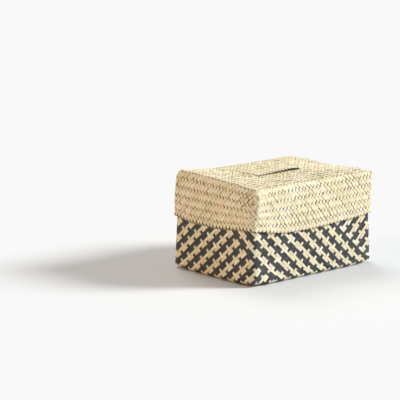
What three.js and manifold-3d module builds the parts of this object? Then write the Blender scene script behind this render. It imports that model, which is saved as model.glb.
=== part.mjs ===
// Plaited palm-leaf box with a deep lift-off lid and a low strap handle.
// Millimetres, +Z up, +X along the long side. The origin is the middle of the underside.

import * as THREE from 'three';
import { mergeVertices } from 'three/addons/utils/BufferGeometryUtils.js';
import Module from 'manifold-3d';

// Overall size
const lidLength = 300; // along X
const lidWidth = 214; // along Y
const lidDepth = 81.5; // lower edge of the lid to the plane of its upper edges
const boxHeight = 173; // floor to the plane of the lid's upper edges

// Layers of plait
const outerLayer = 1.3; // thickness of the outer plait
const liningLayer = 0.8; // thickness of the lining plait
const fitGap = 0.3; // gap between pieces that lie on each other
const borderHeight = 6; // turned-over band along a rim
const borderChamfer = 0.9; // softened edges of that band

// Soft shape of the lid
const lidCornerRadius = 14; // upright corners
const lidEdgeRadius = 16; // round the top
const crownRise = 1; // middle of the top above its edges
const crownRun = 62; // from the rounded edge to where the top is level

// Soft shape of the base
const lidPlay = 2.75; // base rim to lid lining, on each side
const rimClearance = 3; // base rim under the lid lining, since the lid sits by its mouth
const baseBatter = 5.3; // each side leans in this far from underside to rim
const baseCornerRadius = 13; // upright corners
const baseEdgeRadius = 8; // round the underside

// Strap handle
const strapWidth = 38;
const strapThickness = 2;
const strapSpan = 102; // between the middles of its two slits
const strapRise = 6.3; // finger gap under the middle of the strap
const strapBend = 0.4; // radius inside its bends
const tabLength = 24; // flat end under the lid, from its slit outwards
const lashingWidth = 3.5;
const lashingThickness = 0.5;
const lashingInset = 13; // slit to the middle of the lashing

// Fineness of the facets
const leastRadius = 0.2; // a rounding never closes up further than this
const weldDistance = 1e-4; // corners nearer than this are one
const cornerSteps = 6;
const edgeSteps = 5;
const crownSteps = 5;
const archSteps = 16;
const bendSteps = 4;

const palmNatural = { color: 0xe3cf9f, roughness: 0.7, metalness: 0 };
const palmTwoTone = { color: 0x9a8f72, roughness: 0.7, metalness: 0 };
const palmLining = { color: 0xd8c295, roughness: 0.75, metalness: 0 };

const wasm = await Module();
wasm.setup();

// Depths of the four faces of a double wall, from its outer face inwards
const outerBack = outerLayer;
const liningFront = outerBack + fitGap;
const wallDepth = liningFront + liningLayer;

// Heights
const lidRim = boxHeight - lidDepth;
const lidUnderside = boxHeight - wallDepth;

// The base rim stands this far inside the lid's outer face
const rimInset = wallDepth + lidPlay;
const liningEdgeRadius = Math.max(lidEdgeRadius - wallDepth, 0);
const chamferInset = lidPlay + borderChamfer;
const edgeReach = Math.max(liningEdgeRadius - chamferInset, 0);
const edgeDrop = liningEdgeRadius - Math.sqrt(liningEdgeRadius ** 2 - edgeReach ** 2);
const baseRim = lidUnderside - edgeDrop - rimClearance;
const baseLength = lidLength - 2 * (rimInset - baseBatter);
const baseWidth = lidWidth - 2 * (rimInset - baseBatter);
const floorInset = baseWidth / 4; // from the walls to the level middle of the floor

// One level of a shell: a rounded rectangle with its corners as arcs, counter-clockwise
function levelRing({ halfLength, halfWidth, radius, z }) {
  const round = Math.min(Math.max(radius, leastRadius), halfLength, halfWidth);
  const points = [];
  for (let corner = 0; corner < 4; corner += 1) {
    const centreX = (halfLength - round) * (corner === 0 || corner === 3 ? 1 : -1);
    const centreY = (halfWidth - round) * (corner < 2 ? 1 : -1);
    for (let step = 0; step <= cornerSteps; step += 1) {
      const angle = (corner + step / cornerSteps) * (Math.PI / 2);
      const x = centreX + round * Math.cos(angle);
      const y = centreY + round * Math.sin(angle);
      points.push(new THREE.Vector3(x, y, z));
    }
  }
  return points;
}

// Skin stretched over a run of levels. An open run is capped at its first and last level.
function skinLevels(levels, closed) {
  const rings = levels.map(levelRing);
  const count = rings[0].length;
  const vertices = rings.flat();
  const faces = [];
  const joins = closed ? rings.length : rings.length - 1;
  for (let level = 0; level < joins; level += 1) {
    const here = level * count;
    const next = ((level + 1) % rings.length) * count;
    for (let side = 0; side < count; side += 1) {
      const after = (side + 1) % count;
      faces.push(here + side, here + after, next + after);
      faces.push(here + side, next + after, next + side);
    }
  }
  if (!closed) {
    const last = (rings.length - 1) * count;
    const firstCentre = vertices.length;
    vertices.push(new THREE.Vector3(0, 0, levels[0].z));
    vertices.push(new THREE.Vector3(0, 0, levels[levels.length - 1].z));
    for (let side = 0; side < count; side += 1) {
      const after = (side + 1) % count;
      faces.push(firstCentre, after, side);
      faces.push(firstCentre + 1, last + side, last + after);
    }
  }
  const geometry = new THREE.BufferGeometry().setFromPoints(vertices);
  geometry.setIndex(faces);
  return geometry;
}

// Face of the base at a depth inside its outer face, from the middle of the floor up to a height
function baseFace(depth, top) {
  const edge = Math.max(baseEdgeRadius - depth, leastRadius);
  const level = (inset, z) => {
    const lean = baseBatter * (z / baseRim);
    const halfLength = baseLength / 2 - lean - inset;
    const halfWidth = baseWidth / 2 - lean - inset;
    return { halfLength, halfWidth, radius: baseCornerRadius - inset, z };
  };
  const levels = [level(floorInset, depth)];
  for (let step = 0; step <= edgeSteps; step += 1) {
    const angle = (step / edgeSteps) * (Math.PI / 2);
    const inset = depth + edge * (1 - Math.sin(angle));
    levels.push(level(inset, depth + edge * (1 - Math.cos(angle))));
  }
  levels.push(level(depth, top));
  return levels;
}

// How far the lid's top has risen at a distance in from its rounded edge
function crownAt(distance) {
  return crownRise * THREE.MathUtils.smoothstep(distance, 0, crownRun);
}

// Face of the lid at a depth inside its outer face, from a lower height up to the middle of the top
function lidFace(depth, bottom) {
  const edge = Math.max(lidEdgeRadius - depth, leastRadius);
  const level = (inset, z) => {
    const halfLength = lidLength / 2 - inset;
    const halfWidth = lidWidth / 2 - inset;
    return { halfLength, halfWidth, radius: lidCornerRadius - inset, z };
  };
  const top = boxHeight - depth;
  const levels = [level(depth, bottom)];
  for (let step = 0; step <= edgeSteps; step += 1) {
    const angle = (step / edgeSteps) * (Math.PI / 2);
    const inset = depth + edge * (1 - Math.cos(angle));
    levels.push(level(inset, top - edge * (1 - Math.sin(angle))));
  }
  for (let step = 1; step <= crownSteps; step += 1) {
    const distance = crownRun * (step / crownSteps);
    levels.push(level(depth + edge + distance, top + crownAt(distance)));
  }
  return levels;
}

// A layer between two depths of the base or lid, ended square at a height
function baseLayer(front, back, top) {
  return skinLevels([...baseFace(front, top), ...baseFace(back, top).reverse()], false);
}

function lidLayer(front, back, bottom) {
  return skinLevels([...lidFace(back, bottom).reverse(), ...lidFace(front, bottom)], false);
}

// Turned-over band closing a double wall: outer face, chamfered edge, rim, chamfered edge, inner face
function borderBand(faceAt, inner, rim) {
  const towardsWall = Math.sign(inner - rim);
  const shoulder = rim + towardsWall * borderChamfer;
  const levels = [
    faceAt(0, inner),
    faceAt(0, shoulder),
    faceAt(borderChamfer, rim),
    faceAt(wallDepth - borderChamfer, rim),
    faceAt(wallDepth, shoulder),
    faceAt(wallDepth, inner),
  ];
  return skinLevels(towardsWall < 0 ? levels : levels.reverse(), true);
}

function baseWallLevel(depth, z) {
  return baseFace(depth, z).at(-1);
}

function lidWallLevel(depth, z) {
  return lidFace(depth, z)[0];
}

// Boolean cutting of closed meshes
function toSolid(geometry) {
  const bare = geometry.clone();
  bare.deleteAttribute('normal');
  bare.deleteAttribute('uv');
  const merged = mergeVertices(bare, weldDistance);
  return new wasm.Manifold(new wasm.Mesh({
    numProp: 3,
    vertProperties: new Float32Array(merged.attributes.position.array),
    triVerts: new Uint32Array(merged.index.array),
  }));
}

function cutAway(geometry, tools) {
  let solid = toSolid(geometry);
  tools.forEach((tool) => {
    solid = solid.subtract(toSolid(tool));
  });
  const mesh = solid.getMesh();
  const result = new THREE.BufferGeometry();
  result.setAttribute('position', new THREE.BufferAttribute(mesh.vertProperties, 3));
  result.setIndex(new THREE.BufferAttribute(mesh.triVerts, 1));
  return result;
}

function blockAt(sizeX, sizeY, sizeZ, x, y, z) {
  return new THREE.BoxGeometry(sizeX, sizeY, sizeZ).translate(x, y, z);
}

// Heights of what lies on each other at the strap. The tabs clear the lid where it has risen least.
const slitX = strapSpan / 2;
const tabEndDistance = lidLength / 2 - lidEdgeRadius - slitX - tabLength;
const tabSideDistance = lidWidth / 2 - lidEdgeRadius - strapWidth / 2;
const crownTop = boxHeight + crownRise;
const tabTop = lidUnderside + crownAt(Math.min(tabEndDistance, tabSideDistance)) - fitGap;
const tabMiddle = tabTop - strapThickness / 2;
const lashingX = slitX + lashingInset;
const lashingLegY = strapWidth / 2 + fitGap + lashingThickness / 2;

// Middle line of the strap in the XZ plane: tab, up through the slit, low arch, and the same again
function strapMiddleLine() {
  const half = [];
  const bend = strapBend + strapThickness / 2;
  const archTop = crownTop + strapRise + strapThickness / 2;
  half.push(new THREE.Vector2(-slitX - tabLength, tabMiddle));
  for (let step = 0; step <= bendSteps; step += 1) {
    const angle = (step / bendSteps) * (Math.PI / 2);
    const x = -slitX - bend + bend * Math.sin(angle);
    half.push(new THREE.Vector2(x, tabMiddle + bend * (1 - Math.cos(angle))));
  }
  for (let step = 0; step <= bendSteps; step += 1) {
    const angle = (step / bendSteps) * (Math.PI / 2);
    const x = -slitX + bend * (1 - Math.cos(angle));
    half.push(new THREE.Vector2(x, crownTop + bend * Math.sin(angle)));
  }
  const archStart = half.at(-1);
  for (let step = 1; step <= archSteps / 2; step += 1) {
    const along = step / (archSteps / 2);
    const rise = Math.sin(along * (Math.PI / 2));
    const x = THREE.MathUtils.lerp(archStart.x, 0, along);
    half.push(new THREE.Vector2(x, THREE.MathUtils.lerp(archStart.y, archTop, rise)));
  }
  const mirrored = half.slice(0, -1).reverse().map((point) => new THREE.Vector2(-point.x, point.y));
  return [...half, ...mirrored];
}

// Band of even thickness about a line, as one outline
function bandOutline(line, thickness) {
  const left = [];
  const right = [];
  line.forEach((point, index) => {
    const before = line[Math.max(index - 1, 0)];
    const after = line[Math.min(index + 1, line.length - 1)];
    const inward = point.clone().sub(before).normalize();
    const outward = after.clone().sub(point).normalize();
    const along = inward.add(outward).normalize();
    const across = new THREE.Vector2(-along.y, along.x);
    left.push(point.clone().addScaledVector(across, thickness / 2));
    right.push(point.clone().addScaledVector(across, -thickness / 2));
  });
  return new THREE.Shape([...right, ...left.reverse()]);
}

// Outline in XZ, drawn out along Y and centred on it
function strapGeometry() {
  const outline = bandOutline(strapMiddleLine(), strapThickness);
  const geometry = new THREE.ExtrudeGeometry(outline, { depth: strapWidth, bevelEnabled: false });
  geometry.translate(0, 0, -strapWidth / 2);
  return geometry.rotateX(Math.PI / 2);
}

// Flat strip bound round the tab and the lid's two layers: a rectangular loop in YZ, drawn out along X
const lashingBottom = tabTop - strapThickness - fitGap;
const lashingTop = crownTop + fitGap;
function lashingGeometry() {
  const innerHalf = lashingLegY - lashingThickness / 2;
  const outerHalf = lashingLegY + lashingThickness / 2;
  const loop = new THREE.Shape();
  loop.moveTo(-outerHalf, lashingBottom - lashingThickness);
  loop.lineTo(outerHalf, lashingBottom - lashingThickness);
  loop.lineTo(outerHalf, lashingTop + lashingThickness);
  loop.lineTo(-outerHalf, lashingTop + lashingThickness);
  loop.closePath();
  const inside = new THREE.Path();
  inside.moveTo(-innerHalf, lashingBottom);
  inside.lineTo(-innerHalf, lashingTop);
  inside.lineTo(innerHalf, lashingTop);
  inside.lineTo(innerHalf, lashingBottom);
  inside.closePath();
  loop.holes.push(inside);
  const geometry = new THREE.ExtrudeGeometry(loop, { depth: lashingWidth, bevelEnabled: false });
  geometry.translate(0, 0, -lashingWidth / 2);
  return geometry.rotateX(Math.PI / 2).rotateZ(Math.PI / 2);
}

const cutReach = 4 * (wallDepth + crownRise); // well through both layers, wherever the top has risen to

// Slits for the strap and small holes for the lashings, through both layers of the lid's top
function lidTopCuts() {
  const middle = crownTop - wallDepth / 2;
  const cuts = [];
  [-1, 1].forEach((end) => {
    const slitSize = strapThickness + 2 * fitGap;
    cuts.push(blockAt(slitSize, strapWidth + 2 * fitGap, cutReach, end * slitX, 0, middle));
    [-1, 1].forEach((side) => {
      const holeX = lashingWidth + 2 * fitGap;
      const holeY = lashingThickness + 2 * fitGap;
      cuts.push(blockAt(holeX, holeY, cutReach, end * lashingX, side * lashingLegY, middle));
    });
  });
  return cuts;
}

function piece(name, geometry, finish) {
  const mesh = new THREE.Mesh(geometry, new THREE.MeshStandardMaterial(finish));
  mesh.name = name;
  return mesh;
}

const base = new THREE.Group();
const baseWallTop = baseRim - borderHeight;
const baseBandFoot = baseWallTop + fitGap;
base.add(piece('base_outer_weave', baseLayer(0, outerBack, baseWallTop), palmTwoTone));
base.add(piece('base_lining', baseLayer(liningFront, wallDepth, baseWallTop), palmLining));
base.add(piece('base_rim_border', borderBand(baseWallLevel, baseBandFoot, baseRim), palmTwoTone));

const lid = new THREE.Group();
const lidWallFoot = lidRim + borderHeight;
const lidBandTop = lidWallFoot - fitGap;
const topCuts = lidTopCuts();
const lidOuter = cutAway(lidLayer(0, outerBack, lidWallFoot), topCuts);
const lidInner = cutAway(lidLayer(liningFront, wallDepth, lidWallFoot), topCuts);
lid.add(piece('lid_outer_weave', lidOuter, palmNatural));
lid.add(piece('lid_lining', lidInner, palmLining));
lid.add(piece('lid_rim_border', borderBand(lidWallLevel, lidBandTop, lidRim), palmNatural));
lid.add(piece('handle_strap', strapGeometry(), palmNatural));
[['left', -1], ['right', 1]].forEach(([side, sign]) => {
  const lashing = piece(`handle_lashing_${side}`, lashingGeometry(), palmNatural);
  lashing.position.x = sign * lashingX;
  lid.add(lashing);
});

const box = new THREE.Group();
box.add(base, lid);

export default box;
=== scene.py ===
# Plaited palm-leaf box with a deep lift-off lid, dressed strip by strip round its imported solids.
import math

import bpy
import numpy as np
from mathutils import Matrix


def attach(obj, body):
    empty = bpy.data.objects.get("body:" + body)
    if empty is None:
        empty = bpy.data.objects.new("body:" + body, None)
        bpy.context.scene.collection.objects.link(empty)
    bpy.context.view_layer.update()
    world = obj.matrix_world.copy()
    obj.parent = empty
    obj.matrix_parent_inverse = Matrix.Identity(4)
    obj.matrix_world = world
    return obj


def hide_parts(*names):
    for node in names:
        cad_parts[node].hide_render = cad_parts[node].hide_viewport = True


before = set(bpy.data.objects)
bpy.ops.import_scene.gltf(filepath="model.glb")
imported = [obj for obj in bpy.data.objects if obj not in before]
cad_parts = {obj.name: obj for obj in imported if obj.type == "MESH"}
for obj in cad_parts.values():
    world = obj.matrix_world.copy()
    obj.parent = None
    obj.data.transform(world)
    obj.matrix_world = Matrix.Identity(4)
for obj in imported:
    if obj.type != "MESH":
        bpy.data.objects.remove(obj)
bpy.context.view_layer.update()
mm = 0.001
quarterPi = math.pi / 4
dice = np.random.default_rng(271126)  # one seed, so that every run lays the strips alike
print("stage: frame loaded")


# Colour and node helpers

def hexLinear(code):
    parts = [int(code[i:i + 2], 16) / 255 for i in (1, 3, 5)]
    return tuple([c / 12.92 if c <= 0.04045 else ((c + 0.055) / 1.055) ** 2.4 for c in parts] + [1.0])


def addNode(tree, kind, settings=None, inputs=None):
    node = tree.nodes.new(kind)
    for key, value in (settings or {}).items():
        setattr(node, key, value)
    for key, value in (inputs or {}).items():
        if isinstance(value, bpy.types.NodeSocket):
            tree.links.new(value, node.inputs[key])
        else:
            node.inputs[key].default_value = value
    return node


def addRamp(tree, factor, stops):
    node = addNode(tree, "ShaderNodeValToRGB", inputs={"Fac": factor})
    band = node.color_ramp
    while len(band.elements) < len(stops):
        band.elements.new(0.5)
    for element, (place, code) in zip(band.elements, stops):
        element.position = place
        element.color = hexLinear(code)
    return node.outputs["Color"]


def addTint(tree, factor, leaf, code):
    wanted = {0: factor, 6: leaf, 7: hexLinear(code)}  # the mix node's factor and its two colours
    return addNode(tree, "ShaderNodeMix", {"data_type": "RGBA", "blend_type": "MIX"}, wanted).outputs[2]


def addRange(tree, value, source, target):
    wanted = {"Value": value, "From Min": source[0], "From Max": source[1],
              "To Min": target[0], "To Max": target[1]}
    return addNode(tree, "ShaderNodeMapRange", inputs=wanted).outputs["Result"]


def addNoise(tree, place, scale, detail):
    spot = addNode(tree, "ShaderNodeVectorMath", {"operation": "MULTIPLY"}, {0: place, 1: scale})
    wanted = {"Vector": spot.outputs[0], "Scale": 1.0, **detail}
    return addNode(tree, "ShaderNodeTexNoise", inputs=wanted).outputs["Fac"]


def stripField(tree, name, output):
    return addNode(tree, "ShaderNodeAttribute", {"attribute_name": name}).outputs[output]


# Grain of a split leaf: scales per mm along and across a strip, and a third that sets strips apart;
# the other pairs are the parts of the noise, or of the strip's level, that are put to use; the pair for
# the level runs from full painted shade to none
leafGrain = {"fibreApart": 5.3, "fibreDetail": {"Detail": 3.0, "Roughness": 0.6}, "fibreInk": (0.3, 0.72),
             "fibreGloss": (0.25, 0.75), "blotScale": (0.05, 0.15, 3.1), "blotDetail": {"Detail": 2.0},
             "blotInk": (0.45, 0.75), "paintedShadeLevels": (-0.6, 0.35), "bumpDepth": 0.2 * mm}


# Palm leaf split into strips: streaks run along each strip, tones change from strip to strip, and painted
# shade darkens a strip where it lies below others
def palmMaterial(name, look):
    material = bpy.data.materials.new(name)
    material.use_nodes = True
    tree = material.node_tree
    tree.nodes.clear()
    place = stripField(tree, "stripPlace", "Vector")
    tone = stripField(tree, "stripTone", "Fac")
    level = stripField(tree, "stripLevel", "Fac")
    fibreScale = (look["fibreAlong"], look["fibreAcross"], leafGrain["fibreApart"])
    fibre = addNoise(tree, place, fibreScale, leafGrain["fibreDetail"])
    blot = addNoise(tree, place, leafGrain["blotScale"], leafGrain["blotDetail"])
    leaf = addRamp(tree, tone, look["tones"])
    streaks = addRange(tree, fibre, leafGrain["fibreInk"], (0.0, look["streak"]))
    leaf = addTint(tree, streaks, leaf, look["streakColour"])
    patches = addRange(tree, blot, leafGrain["blotInk"], (0.0, look["blot"]))
    leaf = addTint(tree, patches, leaf, look["blotColour"])
    # painted shade: the colour turns toward a dark shade colour where the strip's level is low, where it
    # passes below others
    paintedShade = addRange(tree, level, leafGrain["paintedShadeLevels"], (look["paintedShade"], 0.0))
    leaf = addTint(tree, paintedShade, leaf, look["paintedShadeColour"])
    gloss = addRange(tree, fibre, leafGrain["fibreGloss"], look["rough"])
    bump = addNode(tree, "ShaderNodeBump", inputs={
        "Strength": look["bump"], "Distance": leafGrain["bumpDepth"], "Height": fibre}).outputs["Normal"]
    shader = addNode(tree, "ShaderNodeBsdfPrincipled", inputs={
        "Base Color": leaf, "Roughness": gloss, "Normal": bump})
    shader.inputs["Specular IOR Level"].default_value = look["specular"]
    addNode(tree, "ShaderNodeOutputMaterial", inputs={"Surface": shader.outputs["BSDF"]})
    return material


# Sun-dried leaf: warm cream strips, some peach and some still greenish, with a faint satin skin
naturalPalm = palmMaterial("palm_leaf_sun_dried_split", {
    "tones": [(0.0, "#dccda7"), (0.28, "#f0e6cd"), (0.5, "#e9d6b4"), (0.74, "#e2dab4"), (1.0, "#f8f2df")],
    "streakColour": "#c2a673", "streak": 0.34, "blotColour": "#cdb789", "blot": 0.32,
    # the dark colour and its amount on this line are painted shade where strips pass below others
    "paintedShadeColour": "#241906", "paintedShade": 1.0, "rough": (0.64, 0.8), "specular": 0.35, "bump": 0.35,
    "fibreAlong": 0.05, "fibreAcross": 1.9})

# Leaf boiled in dark dye: charcoal that leans blue, green or brown from strip to strip
dyedPalm = palmMaterial("palm_leaf_black_dyed_split", {
    "tones": [(0.0, "#2a3339"), (0.3, "#494a45"), (0.55, "#273530"), (0.8, "#44444d"), (1.0, "#232627")],
    "streakColour": "#575550", "streak": 0.3, "blotColour": "#1c1e1f", "blot": 0.45,
    # the dark colour and its amount on this line are painted shade where strips pass below others
    "paintedShadeColour": "#121313", "paintedShade": 0.6, "rough": (0.44, 0.66), "specular": 0.3, "bump": 0.35,
    "fibreAlong": 0.05, "fibreAcross": 1.9})

# Undyed inner leaf: a duller straw colour, with broader fibres than the outside
liningPalm = palmMaterial("palm_leaf_inner_split", {
    "tones": [(0.0, "#d3b981"), (0.35, "#dfca98"), (0.65, "#d6be8b"), (1.0, "#e2d2a4")],
    "streakColour": "#b6955a", "streak": 0.4, "blotColour": "#bd9f66", "blot": 0.4,
    # the dark colour and its amount on this line are painted shade where strips pass below others
    "paintedShadeColour": "#5f4521", "paintedShade": 0.55, "rough": (0.5, 0.74), "specular": 0.32, "bump": 0.4,
    "fibreAlong": 0.04, "fibreAcross": 1.5})
print("stage: palm materials made")


# Ribbons: each strip is a closed flat band, five points round, with a crowned upper side

bandAcross = np.array([-1.0, 0.0, 1.0, 0.92, -0.92])  # shares of half the width: three above, two below
bandRing = len(bandAcross)
bandRightEdge = bandAcross > 0.5  # to the right, looking along the strip
bandGirth = 4.2  # about the way round the band, in half widths
toneRange = (0, 1)
seedRange = (0, 90)


def unit(vectors):
    return vectors / np.maximum(np.linalg.norm(vectors, axis=1), 1e-9)[:, None]


def runLength(points):
    steps = np.linalg.norm(np.diff(points, axis=0), axis=1)
    return np.concatenate([[0.0], np.cumsum(steps)])


def smooth(value):
    part = np.clip(value, 0.0, 1.0)
    return part * part * (3 - 2 * part)


# Half width, lift, shear, tilt and level may change from station to station; lengths in mm
def addRibbon(batch, points, normals, ribbon):
    tangents = unit(np.gradient(points, axis=0))
    sides = unit(np.cross(tangents, normals))
    upward = unit(np.cross(sides, tangents))
    half, lift, shear, tilt, level = (
        np.broadcast_to(ribbon.get(key, 0.0), (len(points),))[:, None]
        for key in ("half", "lift", "shear", "tilt", "level"))
    thick, drop = ribbon["thick"], ribbon["crown"]
    rise = np.array([-drop, 0.0, -drop, -thick - drop / 2, -thick - drop / 2])
    reach = half * bandAcross
    height = lift + rise + tilt * bandAcross
    spots = (points[:, None, :] + sides[:, None, :] * reach[:, :, None]
             + tangents[:, None, :] * (shear * reach)[:, :, None]
             + upward[:, None, :] * height[:, :, None])
    batch.append({
        "spots": spots, "along": runLength(points), "across": reach, "tone": ribbon["tone"],
        # painted shade along the band's right edge, as much as the edge dip says
        "seed": ribbon["seed"], "level": level + ribbon.get("edgeDipAndShade", 0.0) * bandRightEdge,
        "girth": bandGirth * float(half.mean()) + 2 * thick})


# Share of a map cell that a ribbon fills, its margin, the places of its five faces and of its two caps
cellMap = {"fill": 0.98, "margin": 0.05, "faces": np.array([0.0, 0.22, 0.44, 0.56, 0.88, 1.0]),
           "capU": 0.985, "capV": (0.5, 0.6), "capSize": 0.008}


# Lays one ribbon's faces and its two caps out flat in its own cell of the map
def flatCell(ribbon, index, cells):
    columns, rows = cells["columns"], cells["rows"]
    cellU = (index % columns) / columns
    cellV = (index // columns) / rows
    run = cellU + cellMap["fill"] * ribbon["along"] / cells["longest"] / columns
    band = cellV + (cellMap["margin"] + (1 - 2 * cellMap["margin"]) * cellMap["faces"]) / rows
    lowU, lowV = np.meshgrid(run[:-1], band[:-1], indexing="ij")
    highU, highV = np.meshgrid(run[1:], band[1:], indexing="ij")
    corners = [(lowU, lowV), (lowU, highV), (highU, highV), (highU, lowV)]
    faceMap = np.stack([np.stack(corner, -1) for corner in corners], -2).reshape(-1, 2)
    turn = np.arange(bandRing) * 2 * math.pi / bandRing
    dot = np.stack([np.cos(turn) / columns, np.sin(turn) / rows], -1) * cellMap["capSize"]
    capU = cellU + cellMap["capU"] / columns
    firstV, lastV = cellMap["capV"]
    firstCap = np.array([capU, cellV + firstV / rows]) - dot
    lastCap = np.array([capU, cellV + lastV / rows]) + dot
    return faceMap, [firstCap, lastCap]


# Faces, caps and flat map of all ribbons in a batch
def joinRibbons(batch):
    longest = max(ribbon["along"][-1] for ribbon in batch)
    girth = max(ribbon["girth"] for ribbon in batch)
    columns = max(1, int(math.sqrt(len(batch) * girth / longest)))
    cells = {"columns": columns, "rows": math.ceil(len(batch) / columns), "longest": longest}
    quads, caps, faceMaps, capMaps = [], [], [], []
    start = 0
    ring = np.arange(bandRing)
    for index, ribbon in enumerate(batch):
        count = len(ribbon["spots"])
        i = np.arange(count - 1)[:, None] * bandRing
        j = ring[None, :]
        nextJ = (j + 1) % bandRing
        quad = np.stack([i + j, i + nextJ, i + bandRing + nextJ, i + bandRing + j], -1)
        quads.append(start + quad.reshape(-1, 4))
        caps += [start + ring[::-1], start + (count - 1) * bandRing + ring]
        faceMap, ends = flatCell(ribbon, index, cells)
        faceMaps.append(faceMap)
        capMaps += ends
        start += count * bandRing
    return np.concatenate(quads), np.array(caps), np.concatenate(faceMaps + capMaps)


# What the materials read at each point: place along and across its strip, tone, and level, from which they
# paint shade where the strip lies low
def stripFields(batch):
    places = []
    for ribbon in batch:
        along = np.broadcast_to(ribbon["along"][:, None], ribbon["across"].shape)
        seed = np.full(ribbon["across"].shape, ribbon["seed"])
        places.append(np.stack([along, ribbon["across"], seed], -1).reshape(-1, 3))
    tones = [np.full(ribbon["level"].size, ribbon["tone"]) for ribbon in batch]
    levels = [ribbon["level"].ravel() for ribbon in batch]
    return np.concatenate(places), np.concatenate(tones), np.concatenate(levels)


sharpAngle = math.radians(38)  # the bands' edges stay crisp, their crowns smooth


# One mesh from a batch, as a piece that rides on its body
def finishBatch(batch, plan):
    spots = np.concatenate([ribbon["spots"].reshape(-1, 3) for ribbon in batch]) * mm
    quads, caps, flatMap = joinRibbons(batch)
    places, tones, levels = stripFields(batch)
    mesh = bpy.data.meshes.new(plan["name"])
    mesh.vertices.add(len(spots))
    mesh.vertices.foreach_set("co", spots.astype(np.float32).ravel())
    loops = np.concatenate([quads.ravel(), caps.ravel()])
    mesh.loops.add(len(loops))
    mesh.loops.foreach_set("vertex_index", loops.astype(np.int32))
    starts = np.concatenate([np.arange(len(quads)) * 4, quads.size + np.arange(len(caps)) * bandRing])
    mesh.polygons.add(len(starts))
    mesh.polygons.foreach_set("loop_start", starts.astype(np.int32))
    layer = mesh.uv_layers.new(name="OFBake", do_init=False)
    layer.uv.foreach_set("vector", flatMap.astype(np.float32).ravel())
    spot = mesh.attributes.new("stripPlace", "FLOAT_VECTOR", "POINT")
    spot.data.foreach_set("vector", places.astype(np.float32).ravel())
    for name, values in (("stripTone", tones), ("stripLevel", levels)):
        field = mesh.attributes.new(name, "FLOAT", "POINT")
        field.data.foreach_set("value", values.astype(np.float32))
    mesh.materials.append(plan["material"])
    mesh.update(calc_edges=True)
    mesh.validate()
    mesh.shade_smooth()
    mesh.set_sharp_from_angle(angle=sharpAngle)
    piece = bpy.data.objects.new(plan["name"], mesh)
    bpy.context.scene.collection.objects.link(piece)
    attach(piece, plan["body"])
    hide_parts(plan["node"])
    print("piece:", plan["name"], len(batch), "strips", 2 * len(quads) + 3 * len(caps), "triangles")


# Shells: the soft-cornered box surfaces that the strips lie in. Millimetres, as in the solids.

# A soft place where the plait has sunk, lifted or been pushed in by use
def dent(at, reach, move):
    return {"at": np.array(at), "reach": np.array(reach), "move": np.array(move)}


baseShell = {
    "halfLength": 150.15, "halfWidth": 107.15, "height": 162.6, "closedZ": 0.0, "upright": 1.0,
    "cornerRadius": 13.0, "edgeRadius": 8.0, "edgeRight": 8.0, "lean": -5.3,
    "crown": 0.0, "crownRun": 1.0, "sway": 0.35, "swayShift": -0.55,
    "dents": [dent((x, y, 0), (55, 55, 30), (0, 0, 2.4)) for x in (-150, 150) for y in (-107, 107)] + [
        dent((-150, -107, 173), (75, 65, 80), (13, 4, -4.5)),  # near corner turned in under the lid
        dent((-20, -107, 173), (170, 42, 80), (0, 6.5, 0)),  # upper front leans back with the lid's
        dent((-150, 0, 173), (60, 115, 75), (3.2, 0, 0)),  # upper left side leans in with the lid's
        dent((-150, 107, 173), (95, 230, 70), (4, -2.5, 0))]}  # and so does the back left corner

lidShell = {
    "halfLength": 150.0, "halfWidth": 107.0, "height": 81.5, "closedZ": 173.0, "upright": -1.0,
    "cornerRadius": 11.0, "edgeRadius": 16.0, "edgeRight": 5.0, "lean": 0.0,
    "crown": 0.7, "crownRun": 62.0, "sway": 0.5, "swayShift": 0.0,
    "dents": [
        dent((150, 0, 173), (85, 900, 70), (0, 0, -1.8)),  # right end droops
        dent((150, 15, 173), (70, 85, 60), (0, 0, -4.5)),  # and has sunk in its middle
        dent((-150, 107, 173), (95, 230, 60), (3.5, -2, 6)),  # back left corner stands up and leans in
        dent((-150, -107, 173), (70, 60, 80), (7, 3, -4)),  # near corner pushed in and down
        dent((-20, -107, 173), (170, 40, 58), (0, 6.5, -2)),  # upper front leans back
        dent((-20, -107, 125), (170, 40, 38), (0, -2, 0)),  # and bulges below that
        dent((-150, 0, 173), (40, 110, 45), (3, 0, 0)),  # upper left side leans in
        dent((-150, -107, 155), (40, 36, 50), (6, 0, 0)),  # and more so at the near corner
        dent((-20, -107, 91.5), (135, 80, 45), (0, 0, -4.6)),  # front rim sags
        dent((-150, -107, 91.5), (82, 105, 62), (0, 0, 8.5)),  # rim rides up at the near corner
        dent((-150, 107, 91.5), (60, 60, 50), (1, -0.5, 6.5)),  # at the back left one
        dent((150, -107, 91.5), (55, 60, 45), (-0.8, 0.8, 3.5))]}  # and at the front right one

# Where the closed face's rounding passes from edgeRadius to edgeRight, in shares of half the length,
# and the height in mm over which the length that this takes up is made good
crispForm = {"from": 0.5, "run": 0.45, "height": 40.0}
# How far from a corner its rounding begins to take over, and the run of that, in corner radii
cornerBlend = {"from": 3, "run": 2}
# Slack in the walls: its waves in mm to a radian, their shifts in radians, and the slanting wave's share
slackWaves = {"x": 47, "xShift": 0.6, "y": 39, "yShift": 1.1, "slantShare": 0.6,
              "zSlant": 31, "xSlant": 83, "ySlant": 59}


def slack(x, y, z):
    alongX = np.sin(x / slackWaves["x"] + slackWaves["xShift"])
    alongY = np.cos(y / slackWaves["y"] + slackWaves["yShift"])
    slanting = np.sin(z / slackWaves["zSlant"] + x / slackWaves["xSlant"] + y / slackWaves["ySlant"])
    return alongX * alongY + slackWaves["slantShare"] * slanting


def settle(shell, point):
    moved = point.copy()
    for place in shell["dents"]:
        away = np.abs(point - place["at"]) / place["reach"]
        share = np.prod(smooth(1 - away), axis=1)
        moved += share[:, None] * place["move"]
    return moved


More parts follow.
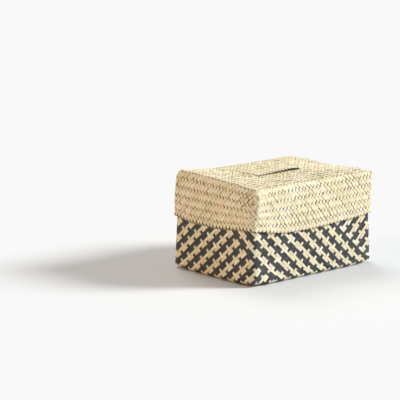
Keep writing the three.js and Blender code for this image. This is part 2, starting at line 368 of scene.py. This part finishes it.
# Edge radius that passes into the corner's toward the end of a side
def blendRadius(edge, corner, half, part):
    share = (part * half - half + cornerBlend["from"] * corner) / (cornerBlend["run"] * corner)
    return edge + (corner - edge) * smooth(share)


# Lattice place on the sharp box to a point and outward normal on the soft-cornered one
def shellPoint(shell, grid, xi, eta, tau):
    halfX, halfY = shell["halfLength"], shell["halfWidth"]
    corner = shell["cornerRadius"]
    partX = np.abs(xi) / (grid["long"] / 2)
    partY = np.abs(eta) / (grid["short"] / 2)
    signX, signY = np.sign(xi), np.sign(eta)
    crispShare = smooth((partX * signX - crispForm["from"]) / crispForm["run"])
    crisp = (shell["edgeRadius"] - shell["edgeRight"]) * crispShare
    edge = shell["edgeRadius"] - crisp
    radiusX = blendRadius(edge, corner, halfY, partY)
    radiusY = blendRadius(edge, corner, halfX, partX)
    arcX = partX * (halfX - radiusX + quarterPi * radiusX)
    arcY = partY * (halfY - radiusY + quarterPi * radiusY)
    arcT = tau * grid["rise"]
    arcT = arcT + crisp * (1 - quarterPi) * np.clip(arcT / crispForm["height"], 0, 1)
    bendX = np.clip((arcX - halfX + radiusX) / (quarterPi * radiusX), 0, 1)
    bendY = np.clip((arcY - halfY + radiusY) / (quarterPi * radiusY), 0, 1)
    bendT = np.clip(1 - arcT / (quarterPi * edge), 0, 1)
    turn = unit(np.tan(quarterPi * np.stack([bendX, bendY, bendT], -1)))
    x = signX * (np.minimum(arcX, halfX - radiusX) + radiusX * turn[:, 0])
    y = signY * (np.minimum(arcY, halfY - radiusY) + radiusY * turn[:, 1])
    high = edge * (1 - turn[:, 2]) + np.maximum(arcT - quarterPi * edge, 0)
    lean = shell["lean"] * high / shell["height"]
    x = x * (halfX + lean) / halfX
    y = y * (halfY + lean) / halfY
    inward = np.minimum(halfX - np.abs(x), halfY - np.abs(y)) - edge
    crown = shell["crown"] * smooth(inward / shell["crownRun"]) * (turn[:, 2] > 0.5)  # closed face only
    z = shell["closedZ"] + shell["upright"] * (high - crown)
    normal = unit(np.stack([signX * turn[:, 0] / radiusX, signY * turn[:, 1] / radiusY,
                            -shell["upright"] * turn[:, 2] / edge], -1))
    sway = shell["swayShift"] + shell["sway"] * slack(x, y, z)
    point = np.stack([x, y, z], -1) + normal * sway[:, None]
    return settle(shell, point), normal


# Lattice: the routes of the strips, counted in strips along the long and short sides

# Place round the walls, in lattice units from the front left corner, to the sharp box
def wallPlace(grid, s):
    a, b = grid["long"] / 2, grid["short"] / 2
    s = np.mod(s, 4 * (a + b))
    front, right, back = s < 2 * a, s < 2 * (a + b), s < 4 * a + 2 * b
    xi = np.where(front, s - a, np.where(right, a, np.where(back, 3 * a + 2 * b - s, -a)))
    eta = np.where(front, -b, np.where(right, s - 2 * a - b, np.where(back, b, 4 * a + 3 * b - s)))
    return xi, eta


# Wall height in mm from the closed face, as lattice units
def wallUnits(shell, grid, high):
    return (high - shell["edgeRadius"] * (1 - quarterPi)) / grid["rise"]


# Route of one strip: up a wall, across the closed face, up the opposite wall.
# Warp strips keep X - Y, weft strips keep X + Y. On a wall, a strip of kind A goes to the left,
# seen from outside, on its way from the closed face to the rim.
def stripRoute(grid, warp, index):
    a, b = grid["long"] / 2, grid["short"] / 2
    c = -(a + b) + 0.5 + index
    if warp:
        frontStart, farEnd = c - b >= -a, a - c > b
        first = c - 2 * b if frontStart else -2 * a - c
        last = 2 * b + c if farEnd else 2 * a - c
        return {"c": c, "first": first, "last": last, "startS": c + a - b, "endS": 3 * a + b - c,
                "startA": frontStart, "endA": farEnd}
    frontStart, farEnd = c + b <= a, c + a > b
    first = -c - 2 * b if frontStart else c - 2 * a
    last = 2 * b - c if farEnd else c + 2 * a
    return {"c": c, "first": first, "last": last, "startS": c + a + b, "endS": -(a + b) - c,
            "startA": not frontStart, "endA": not farEnd}


# Where a strip is at stations v along its route: wall place s, height t, floor place X and Y
def routePlaces(warp, route, v):
    t = np.maximum(np.maximum(route["first"] - v, v - route["last"]), 0) / 2
    atStart, atEnd = v <= route["first"], v >= route["last"]
    startS = route["startS"] + np.where(route["startA"], -t, t)
    endS = route["endS"] + np.where(route["endA"], -t, t)
    s = np.where(atStart, startS, endS)
    c = route["c"]
    floorX = (v + c) / 2 if warp else (c - v) / 2
    floorY = (v - c) / 2 if warp else (c + v) / 2
    return s, t, floorX, floorY, atStart, atEnd


# Whether the strip is the upper one at each crossing
def crossingOver(grid, warp, route, v):
    a, b = grid["long"] / 2, grid["short"] / 2
    s, t, x, y, atStart, atEnd = routePlaces(warp, route, v)
    nearLong = b - np.abs(y)
    nearShort = a - np.abs(x)
    floorA = np.where(nearLong <= nearShort, warp, not warp)
    isA = np.where(atStart, route["startA"], np.where(atEnd, route["endA"], floorA))
    onWall = atStart | atEnd
    row = np.where(onWall, 2 * t, -2 * np.minimum(nearLong, nearShort))
    k = np.floor(s + t)
    phase = np.where(onWall, grid["phase"](k, k - np.round(row), 4 * (a + b)), grid["floorPhase"])
    bySide = np.where(onWall, np.mod(s, 2 * (a + b)) < 2 * a, nearLong <= nearShort)
    lead = np.where(bySide, grid["longRows"][0], grid["shortRows"][0])
    overs = np.where(bySide, grid["longRows"][1], grid["shortRows"][1])
    overA = np.mod(np.round(row) - phase - lead, grid["cycle"]) < overs
    return isA == overA


def evenPhase(k, m, around):
    return np.zeros(k.shape)


# Stretch in each half of the way round, counted in strips, where the figure's rows are shifted,
# the strip of the other set at which the shift changes, and the two shifts in rows
figureShift = {"from": 7, "to": 37, "change": 5, "after": -2, "before": -3}


# The two-tone figure turns over near the upright corners, so that its bars lean the other way there
def figurePhase(k, m, around):
    turned = np.mod(k, around / 2)
    shifted = (turned >= figureShift["from"]) & (turned < figureShift["to"])
    past = m - (k - turned) >= figureShift["change"]
    return np.where(shifted, np.where(past, figureShift["after"], figureShift["before"]), 0)


# What all plaits share: stations to a crossing, rise of a float and of its slope, spacing of a strip's
# waver and its margins past both ends, spread of its width, height in strips over which a wall takes its
# twist and drop, how far before the rim's tuck a strip begins to sink, and how much flatter it gets there
plaitForm = {"stations": 3, "floatRise": 1.14, "slopeRise": 0.55, "waver": 2.4, "waverMargins": (2, 4),
             "widthSpread": 0.02, "twistRows": 3, "tuckLead": 2, "tuckFlat": 0.8}


# Stations of a strip from rim to rim, with the crossing that each is nearest to
def stripStations(route, reach):
    per = plaitForm["stations"]
    first, last = route["first"], route["last"]
    low = int(math.ceil(-reach * per + 0.5))
    far = int(math.floor((last - first + reach) * per - 0.5))
    v = np.concatenate([[first - reach], first + np.arange(low, far + 1) / per, [last + reach]])
    return v, np.round(v - first)


# A whole plaited layer of a shell, in batches by colour and set
def plaitLayer(shell, grid, layer):
    batches = {}
    reach = 2 * (wallUnits(shell, grid, layer["wallEnd"]) + grid["drop"])
    tuckFrom = layer["wallEnd"] - layer["tuck"] - plaitForm["tuckLead"]
    limitX, limitY = grid["long"] / 2, grid["short"] / 2
    marginBefore, marginAfter = plaitForm["waverMargins"]
    for warp in (True, False):
        for index in range(grid["long"] + grid["short"]):
            route = stripRoute(grid, warp, index)
            v, whole = stripStations(route, reach)
            crossings = route["first"] + np.arange(whole[0] - 1, whole[-1] + 2)
            sign = np.where(crossingOver(grid, warp, route, crossings), 1.0, -1.0)
            at = (whole - whole[0] + 1).astype(int)
            off = v - route["first"] - whole
            toward = np.sign(np.round(off * plaitForm["stations"])).astype(int)
            own = sign[at]
            floating = sign[at + toward] == own
            rise = np.where(off == 0, 1.0, plaitForm["floatRise"])
            level = own * np.where(floating, rise, plaitForm["slopeRise"])
            skew = dice.normal(0, layer["skew"], len(sign))[at]
            knots = np.arange(v[0] - marginBefore, v[-1] + marginAfter, plaitForm["waver"])
            drift = np.interp(v, knots, dice.normal(0, layer["drift"], len(knots)))
            drift = drift + dice.normal(0, layer["stray"])
            ragged = np.interp(v, knots, dice.normal(1, layer["ragged"], len(knots)))
            s, t, x, y, atStart, atEnd = routePlaces(warp, route, v)
            onWall = atStart | atEnd
            settled = np.minimum(t / plaitForm["twistRows"], 1)
            high = t - grid["drop"] * settled
            wallX, wallY = wallPlace(grid, s + drift + grid["twist"] * settled)
            slip = -drift / 2 if warp else drift / 2
            xi = np.where(onWall, wallX, np.clip(x + drift / 2, -limitX, limitX))
            eta = np.where(onWall, wallY, np.clip(y + slip, -limitY, limitY))
            point, normal = shellPoint(shell, grid, xi, eta, high)
            tuck = smooth((high * grid["rise"] - tuckFrom) / layer["tuck"]) * onWall
            point = point - normal * (layer["depth"] + layer["tuckDepth"] * tuck)[:, None]
            colour = layer["colour"](index)
            strip = layer["strip"][colour]
            wide = strip["half"] * np.where(floating, 1.0, 1.0 - layer["pinch"]) * ragged
            wide = wide * (1 + dice.normal(0, plaitForm["widthSpread"]))
            ribbon = {"half": wide, "thick": layer["thick"], "crown": layer["crown"], "tilt": skew,
                      "lift": layer["lift"] * level * (1 - plaitForm["tuckFlat"] * tuck) + strip["proud"],
                      "tone": dice.uniform(*toneRange), "seed": dice.uniform(*seedRange),
                      # painted shade where the strip lies below others
                      "level": 1 - layer["shade"] * (1 - level)}
            batch = batches.setdefault((colour, "warp" if warp else "weft"), [])
            addRibbon(batch, point, normal * layer["facing"], ribbon)
    return batches


# Form of a folded strip end: stations on each leg and round the bend, run and lift of its tips,
# spread of its place and width, its crown, and the level at its tips, which paints shade on them
foldForm = {"legStations": 5, "bendStations": 9, "tipRun": 2.5, "tipLift": 0.55, "tipRest": 0.75,
            "spread": 0.03, "crown": 0.08, "tipShadeLevel": 0.2}


# Rim border: strip ends folded over the rim from the outside to the inside, each on the next
def rimBorder(shell, grid, border):
    batches = {}
    thick = border["thick"]
    radius = border["wallDepth"] / 2 - thick / 2
    straight = border["high"] - radius
    leg = np.linspace(0, straight, foldForm["legStations"])
    bend = np.linspace(0, math.pi, foldForm["bendStations"])[1:-1]
    along = np.concatenate([leg, straight + radius * bend, straight + radius * math.pi + leg])
    high = np.concatenate([leg, straight + radius * np.sin(bend), straight - leg])
    depth = np.concatenate([0 * leg, radius * (1 - np.cos(bend)), 2 * radius + 0 * leg])
    angle = np.concatenate([0 * leg, bend, math.pi + 0 * leg])
    tips = smooth(along / foldForm["tipRun"]) * smooth((along[-1] - along) / foldForm["tipRun"])
    t = wallUnits(shell, grid, shell["height"] - border["high"] + high)
    rimward = np.array([0.0, 0.0, shell["upright"]])
    wallEnds = np.cumsum([grid["long"], grid["short"], grid["long"], grid["short"]])
    for index in range(wallEnds[-1]):
        s = index + 0.5 + dice.normal(0, foldForm["spread"]) + border["slant"] * along / grid["rise"]
        xi, eta = wallPlace(grid, s)
        point, normal = shellPoint(shell, grid, xi, eta, t)
        point = point - normal * (thick / 2 + depth)[:, None]
        facing = normal * np.cos(angle)[:, None] + rimward * np.sin(angle)[:, None]
        wall = int(np.searchsorted(wallEnds, index, side="right"))
        ribbon = {"half": border["half"] * (1 + dice.normal(0, foldForm["spread"])), "thick": thick,
                  "lift": foldForm["tipLift"] * (tips - foldForm["tipRest"]), "crown": foldForm["crown"],
                  "tone": dice.uniform(*toneRange), "seed": dice.uniform(*seedRange),
                  # painted shade on the tips, where they tuck under
                  "level": foldForm["tipShadeLevel"] + (1 - foldForm["tipShadeLevel"]) * tips,
                  # painted slit shade along one edge, as much as the wall's number says
                  "tilt": border["tilt"], "edgeDipAndShade": border["slits"][wall]}
        addRibbon(batches.setdefault(border["colour"](index), []), point, facing, ribbon)
    return batches


# Base: two black and two natural strips by turns, in both sets

# rise: mm of wall to a strip; twist and drop: shift round the walls and toward the closed face, in strips.
# longRows and shortRows, for the two kinds of side: out of each cycle of rows, the first one
# where the strips of kind A lie on top, and how many such rows there are
outerGrid = {"long": 36, "short": 24, "rise": 7.5, "twist": -0.5, "drop": 0.5, "phase": figurePhase,
             "floorPhase": 1, "cycle": 4, "longRows": (0, 2), "shortRows": (0, 2)}
liningGrid = {"long": 23, "short": 16, "rise": 12.2, "twist": 0.0, "drop": 0.0, "phase": evenPhase,
              "floorPhase": 0, "cycle": 4, "longRows": (0, 2), "shortRows": (0, 2)}
figureRepeat = {"start": 3, "strips": 4, "black": 2}


def figureColour(index):
    place = (index - figureRepeat["start"]) % figureRepeat["strips"]
    return "black" if place < figureRepeat["black"] else "natural"


def plainColour(index):
    return "natural"


# Lengths in mm. skew, ragged, drift and stray say how unevenly the strips lie, and shade how much painted
# shade they get where they pass below others; pinch narrows them, as a share, where they go up or down.
baseLayer = {"wallEnd": 160.7, "tuck": 5.0, "tuckDepth": 0.45, "depth": 0.72, "lift": 0.46, "thick": 0.36,
             "crown": 0.2, "skew": 0.07, "pinch": 0.03, "shade": 0.7, "ragged": 0.03, "drift": 0.03,
             "stray": 0.02, "facing": 1.0, "colour": figureColour,
             "strip": {"black": {"half": 2.88, "proud": 0.03}, "natural": {"half": 2.5, "proud": 0.0}}}
stripFinish = {"black": dyedPalm, "natural": naturalPalm}
for (colour, run), batch in plaitLayer(baseShell, outerGrid, baseLayer).items():
    finishBatch(batch, {"name": f"base_{colour}_{run}", "material": stripFinish[colour], "body": "base",
                        "node": "base_outer_weave", "slot": "two_tone_plait"})

# Both linings are laid alike, with their good side inward
liningForm = {"tuck": 5.0, "tuckDepth": -0.2, "depth": 2.0, "lift": 0.22, "thick": 0.26, "crown": 0.1,
              "skew": 0.04, "pinch": 0.04, "shade": 0.8, "ragged": 0.03, "drift": 0.03, "stray": 0.02,
              "facing": -1.0, "colour": plainColour}
baseLining = {**liningForm, "wallEnd": 160.2, "strip": {"natural": {"half": 4.25, "proud": 0.0}}}
for (colour, run), batch in plaitLayer(baseShell, liningGrid, baseLining).items():
    finishBatch(batch, {"name": f"base_lining_{run}", "material": liningPalm, "body": "base",
                        "node": "base_lining", "slot": "lining_plait"})

# Slit shade: painted shade along one edge of the folded ends, on the front, right, back and left; 0 is
# none
baseBorder = {"wallDepth": 2.4, "high": 6.4, "thick": 0.45, "slant": -1.0, "half": 2.95, "tilt": 0.12,
              "slits": (0.0, 0.0, 0.0, 0.0), "colour": figureColour}
for colour, batch in rimBorder(baseShell, outerGrid, baseBorder).items():
    finishBatch(batch, {"name": f"base_border_{colour}", "material": stripFinish[colour], "body": "base",
                        "node": "base_rim_border", "slot": "two_tone_plait"})
print("stage: base plaited")


# Lid: all natural, in level rows. Long floats, over two and under one, lean one way, and short ones
# between the rows lean the other way. On the short sides the two leans change places.

lidGrid = {"long": 34, "short": 24, "rise": 9.67, "twist": 0.0, "drop": 0.0, "phase": evenPhase,
           "floorPhase": 0, "cycle": 3, "longRows": (2, 1), "shortRows": (0, 2)}
lidLayer = {"wallEnd": 79.5, "tuck": 5.0, "tuckDepth": 0.45, "depth": 0.78, "lift": 0.75, "thick": 0.36,
            "crown": 0.14, "skew": 0.15, "pinch": 0.34, "shade": 1.0, "ragged": 0.07, "drift": 0.06,
            "stray": 0.03, "facing": 1.0, "colour": plainColour,
            "strip": {"natural": {"half": 3.22, "proud": 0.0}}}
for (colour, run), batch in plaitLayer(lidShell, lidGrid, lidLayer).items():
    finishBatch(batch, {"name": f"lid_natural_{run}", "material": naturalPalm, "body": "lid",
                        "node": "lid_outer_weave", "slot": "natural_plait"})

lidLining = {**liningForm, "wallEnd": 79.0, "strip": {"natural": {"half": 4.3, "proud": 0.0}}}
for (colour, run), batch in plaitLayer(lidShell, liningGrid, lidLining).items():
    finishBatch(batch, {"name": f"lid_lining_{run}", "material": liningPalm, "body": "lid",
                        "node": "lid_lining", "slot": "lining_plait"})

# Its slit shade paints the darkest edges on the right and left sides
lidBorder = {"wallDepth": 2.4, "high": 5.0, "thick": 0.45, "slant": 1.5, "half": 3.2, "tilt": 0.08,
             "slits": (-0.4, -2.2, -0.4, -2.2), "colour": plainColour}
for colour, batch in rimBorder(lidShell, lidGrid, lidBorder).items():
    finishBatch(batch, {"name": "lid_border", "material": naturalPalm, "body": "lid",
                        "node": "lid_rim_border", "slot": "natural_plait"})
print("stage: lid plaited")


# Strap: a flat plait five rows wide, through two slits, with its ends flat under the lid

# archX and archRise: height over crownZ along the strap, evened out over evenRun samples.
# edgeRun, edgeRest and foldRun, in rows, and the edge dip: how strips sink and fold at the strap's edges;
# where they sink they also get painted shade.
# trim and fewest: room left at the tabs' ends, and stations of the shortest strip that is kept.
# backShare: width of the strips of the second slant, as a share of the first.
strapPlan = {"width": 38.0, "rows": 5, "slitX": 51.0, "shift": -4.0, "tab": 24.0, "tabZ": 170.3,
             "crownZ": 173.6, "archX": (-51.0, -45.0, -22.0, 4.0, 26.0, 40.0, 51.0),
             "archRise": (0.7, 1.1, 2.2, 3.6, 4.7, 4.4, 1.4), "archSamples": 61, "evenRun": 11,
             "bend": 1.4, "bendSamples": 7, "fineSamples": 1200, "cycle": 4, "overs": 2,
             "edgeRun": 0.5, "edgeDipAndShade": 0.25, "edgeRest": 0.4, "foldRun": 0.7, "trim": 0.02, "fewest": 4,
             "lift": 0.4, "thick": 0.42, "crown": 0.18, "half": 2.66, "backShare": 0.78}


# The strap's middle line in X and Z, from one tab through both slits to the other
def strapLine(plan):
    turn = np.linspace(0, math.pi / 2, plan["bendSamples"])
    bend, slit = plan["bend"], plan["slitX"]
    tab = np.array([[-slit - plan["tab"], plan["tabZ"]]])
    lower = np.stack([-slit - bend + bend * np.sin(turn), plan["tabZ"] + bend * (1 - np.cos(turn))], -1)
    upper = np.stack([-slit + bend * (1 - np.cos(turn)), plan["crownZ"] + bend * np.sin(turn)], -1)
    end = np.concatenate([tab, lower, upper])
    archX = np.linspace(-slit + 2 * bend, slit - 2 * bend, plan["archSamples"])
    rise = np.pad(np.interp(archX, plan["archX"], plan["archRise"]), plan["evenRun"] // 2, mode="edge")
    even = np.convolve(rise, np.ones(plan["evenRun"]) / plan["evenRun"], mode="valid")
    arch = np.stack([archX, plan["crownZ"] + even], -1)
    line = np.concatenate([end, arch, end[::-1] * np.array([-1.0, 1.0])])
    line[:, 0] += plan["shift"]
    return line


def strapBatch(plan):
    line = strapLine(plan)
    length = runLength(line)
    fine = np.linspace(0, length[-1], plan["fineSamples"])
    fineX, fineZ = np.interp(fine, length, line[:, 0]), np.interp(fine, length, line[:, 1])
    slope = unit(np.stack([np.gradient(fineX), np.gradient(fineZ)], -1))
    rows, cycle, overs = plan["rows"], plan["cycle"], plan["overs"]
    cell = plan["width"] / rows
    longest = length[-1] / cell
    batch = []
    for slant in (1.0, -1.0):
        for index in range(-rows, int(longest) + 1):
            w = np.linspace(0, rows, rows * 2 * plaitForm["stations"] + 1)  # two crossings to a row
            w = w if slant > 0 else w[::-1]
            u = index + 0.5 + (w if slant > 0 else rows - w)
            keep = (u >= plan["trim"]) & (u <= longest - plan["trim"])
            if keep.sum() < plan["fewest"]:
                continue
            u, w = u[keep], w[keep]
            crossing = np.round(2 * w)
            toward = np.sign(np.round((2 * w - crossing) * plaitForm["stations"]))
            lead = np.mod(crossing, cycle) < overs
            nextRow = np.mod(crossing + toward, cycle) < overs
            sign = np.where(lead, slant, -slant)
            level = np.where(lead == nextRow, sign, plaitForm["slopeRise"] * sign)
            edge = np.minimum(w, rows - w)
            # sunk edges sit lower and also get painted shade
            sunk = plan["edgeDipAndShade"] * (1 - smooth(edge / plan["edgeRest"]))
            level = level * smooth(edge / plan["edgeRun"]) - sunk
            spot = u * cell
            x, z = np.interp(spot, fine, fineX), np.interp(spot, fine, fineZ)
            slopeX, slopeZ = np.interp(spot, fine, slope[:, 0]), np.interp(spot, fine, slope[:, 1])
            point = np.stack([x, (w - rows / 2) * cell, z], -1)
            normal = unit(np.stack([-slopeZ, 0 * x, slopeX], -1))
            ribbon = {"half": plan["half"] * (1.0 if slant > 0 else plan["backShare"]),
                      "lift": plan["lift"] * level, "thick": plan["thick"], "crown": plan["crown"],
                      "tone": dice.uniform(*toneRange), "seed": dice.uniform(*seedRange), "level": level,
                      "shear": -slant * (1 - smooth(edge / plan["foldRun"]))}
            addRibbon(batch, point, normal, ribbon)
    return batch


finishBatch(strapBatch(strapPlan), {"name": "strap_plait", "material": naturalPalm, "body": "lid",
                                    "node": "handle_strap", "slot": "natural_plait"})


# Lashings: a palm strip bound round each tab and through the lid, its end tucked underneath

# tone: the mean of the two lashings, and the step from it to each
lashingPlan = {"x": 64.0, "halfY": 19.5, "lowZ": 168.8, "highZ": 174.0, "round": 0.9, "half": 1.75,
               "thick": 0.45, "crown": 0.16, "lap": 9.0, "lapFrom": 2.2, "lapRun": 6.0, "lapLift": 0.75,
               "weave": 0.55, "weaveRun": 8.1, "sag": 0.12, "sagRun": 9.0, "turnSamples": 6, "samples": 60,
               "tone": (0.5, 0.3), "seed": 11.0}


def lashingBatch(plan, side):
    turn = np.linspace(0, math.pi / 2, plan["turnSamples"])
    rounding, low, high = plan["round"], plan["lowZ"], plan["highZ"]
    path = [[-plan["lap"], low]]
    for turnY, turnZ, start in ((1, -1, -0.5), (1, 1, 0.0), (-1, 1, 0.5), (-1, -1, 1.0)):
        angle = start * math.pi + turn
        centreY = turnY * (plan["halfY"] - rounding)
        centreZ = (high - rounding) if turnZ > 0 else (low + rounding)
        arc = np.stack([centreY + rounding * np.cos(angle), centreZ + rounding * np.sin(angle)], -1)
        path += arc.tolist()
    path = np.array(path + [[plan["lap"], low]])
    length = runLength(path)
    spot = np.unique(np.concatenate([np.linspace(0, length[-1], plan["samples"]), length]))
    y, z = np.interp(spot, length, path[:, 0]), np.interp(spot, length, path[:, 1])
    sag = plan["sag"] * np.sin(spot / plan["sagRun"] + side)
    weave = plan["weave"] * np.sin(y * math.pi / plan["weaveRun"] + side)
    z = z + np.where(z > high - rounding, weave, 0)
    lapped = smooth((spot - length[-1] + plan["lapFrom"] * plan["lap"]) / plan["lapRun"])
    point = np.stack([side * plan["x"] + sag, y, z], -1)
    normal = unit(np.cross(unit(np.gradient(point, axis=0)), np.array([1.0, 0.0, 0.0])))
    tone, toneStep = plan["tone"]
    ribbon = {"half": plan["half"], "lift": plan["thick"] / 2 + plan["lapLift"] * lapped,
              "thick": plan["thick"], "crown": plan["crown"], "tone": tone + toneStep * side,
              "seed": plan["seed"] + side, "level": 1.0}
    batch = []
    addRibbon(batch, point, normal, ribbon)
    return batch


for sideName, side in (("left", -1.0), ("right", 1.0)):
    finishBatch(lashingBatch(lashingPlan, side), {
        "name": f"lashing_{sideName}_strip", "material": naturalPalm, "body": "lid",
        "node": f"handle_lashing_{sideName}", "slot": "palm_strip"})
print("stage: strap and lashings made")


# Stage: pale floor that runs out of view, soft key from the right, even light all round

floorPlan = {"half": 40.0, "colour": "#d9d9d9", "roughness": 0.95, "specular": 0.05}


def addFloor(plan):
    half = plan["half"]
    mesh = bpy.data.meshes.new("studio_floor")
    corners = [(-half, -half, 0), (half, -half, 0), (half, half, 0), (-half, half, 0)]
    mesh.from_pydata(corners, [], [(0, 1, 2, 3)])
    floor = bpy.data.objects.new("studio_floor", mesh)
    bpy.context.scene.collection.objects.link(floor)
    paper = bpy.data.materials.new("matt_paper_sweep")  # even white that takes the soft shadow
    paper.use_nodes = True
    shader = paper.node_tree.nodes["Principled BSDF"]
    shader.inputs["Base Color"].default_value = hexLinear(plan["colour"])
    shader.inputs["Roughness"].default_value = plan["roughness"]
    shader.inputs["Specular IOR Level"].default_value = plan["specular"]
    mesh.materials.append(paper)


airPlan = {"colour": "#f8f9fb", "strength": 0.30}


def addAir(plan):
    world = bpy.data.worlds.new("studio_air")
    world.use_nodes = True
    shader = world.node_tree.nodes["Background"]
    shader.inputs["Color"].default_value = hexLinear(plan["colour"])
    shader.inputs["Strength"].default_value = plan["strength"]
    bpy.context.scene.world = world


# spread, elevation and azimuth in degrees
lightPlans = [
    {"name": "key_soft_right", "energy": 4.5, "spread": 18, "colour": "#f5fbff",
     "elevation": 29, "azimuth": 52},
    {"name": "fill_soft_left", "energy": 0.68, "spread": 46, "colour": "#ffebc8",
     "elevation": 28, "azimuth": -112},
    {"name": "bounce_warm_left", "energy": 0.95, "spread": 40, "colour": "#ffb03c",
     "elevation": 4, "azimuth": -112},
    {"name": "top_soft_back", "energy": 1.25, "spread": 34, "colour": "#fdfdff",
     "elevation": 52, "azimuth": 165}]


def addSun(plan):
    data = bpy.data.lights.new(plan["name"], "SUN")
    data.energy = plan["energy"]
    data.angle = math.radians(plan["spread"])
    data.color = hexLinear(plan["colour"])[:3]
    lamp = bpy.data.objects.new(plan["name"], data)
    lamp.rotation_euler = (math.radians(90 - plan["elevation"]), 0, math.radians(plan["azimuth"]))
    bpy.context.scene.collection.objects.link(lamp)


# lookDown and heading in degrees
cameraPlan = {"lens": 158.85, "sensor": 36.0, "clipEnd": 200.0, "place": (-2.1547, -2.2698, 0.7538),
              "lookDown": 11.46, "heading": -41.08}


def addCamera(plan):
    data = bpy.data.cameras.new("camera")
    data.lens = plan["lens"]
    data.sensor_width = plan["sensor"]
    data.clip_end = plan["clipEnd"]
    camera = bpy.data.objects.new("camera", data)
    camera.location = plan["place"]
    camera.rotation_euler = (math.radians(90 - plan["lookDown"]), 0, math.radians(plan["heading"]))
    bpy.context.scene.collection.objects.link(camera)
    bpy.context.scene.camera = camera


addFloor(floorPlan)
addAir(airPlan)
for lightPlan in lightPlans:
    addSun(lightPlan)
addCamera(cameraPlan)
bpy.context.scene.view_settings.view_transform = "Standard"
print("stage: light and camera set")
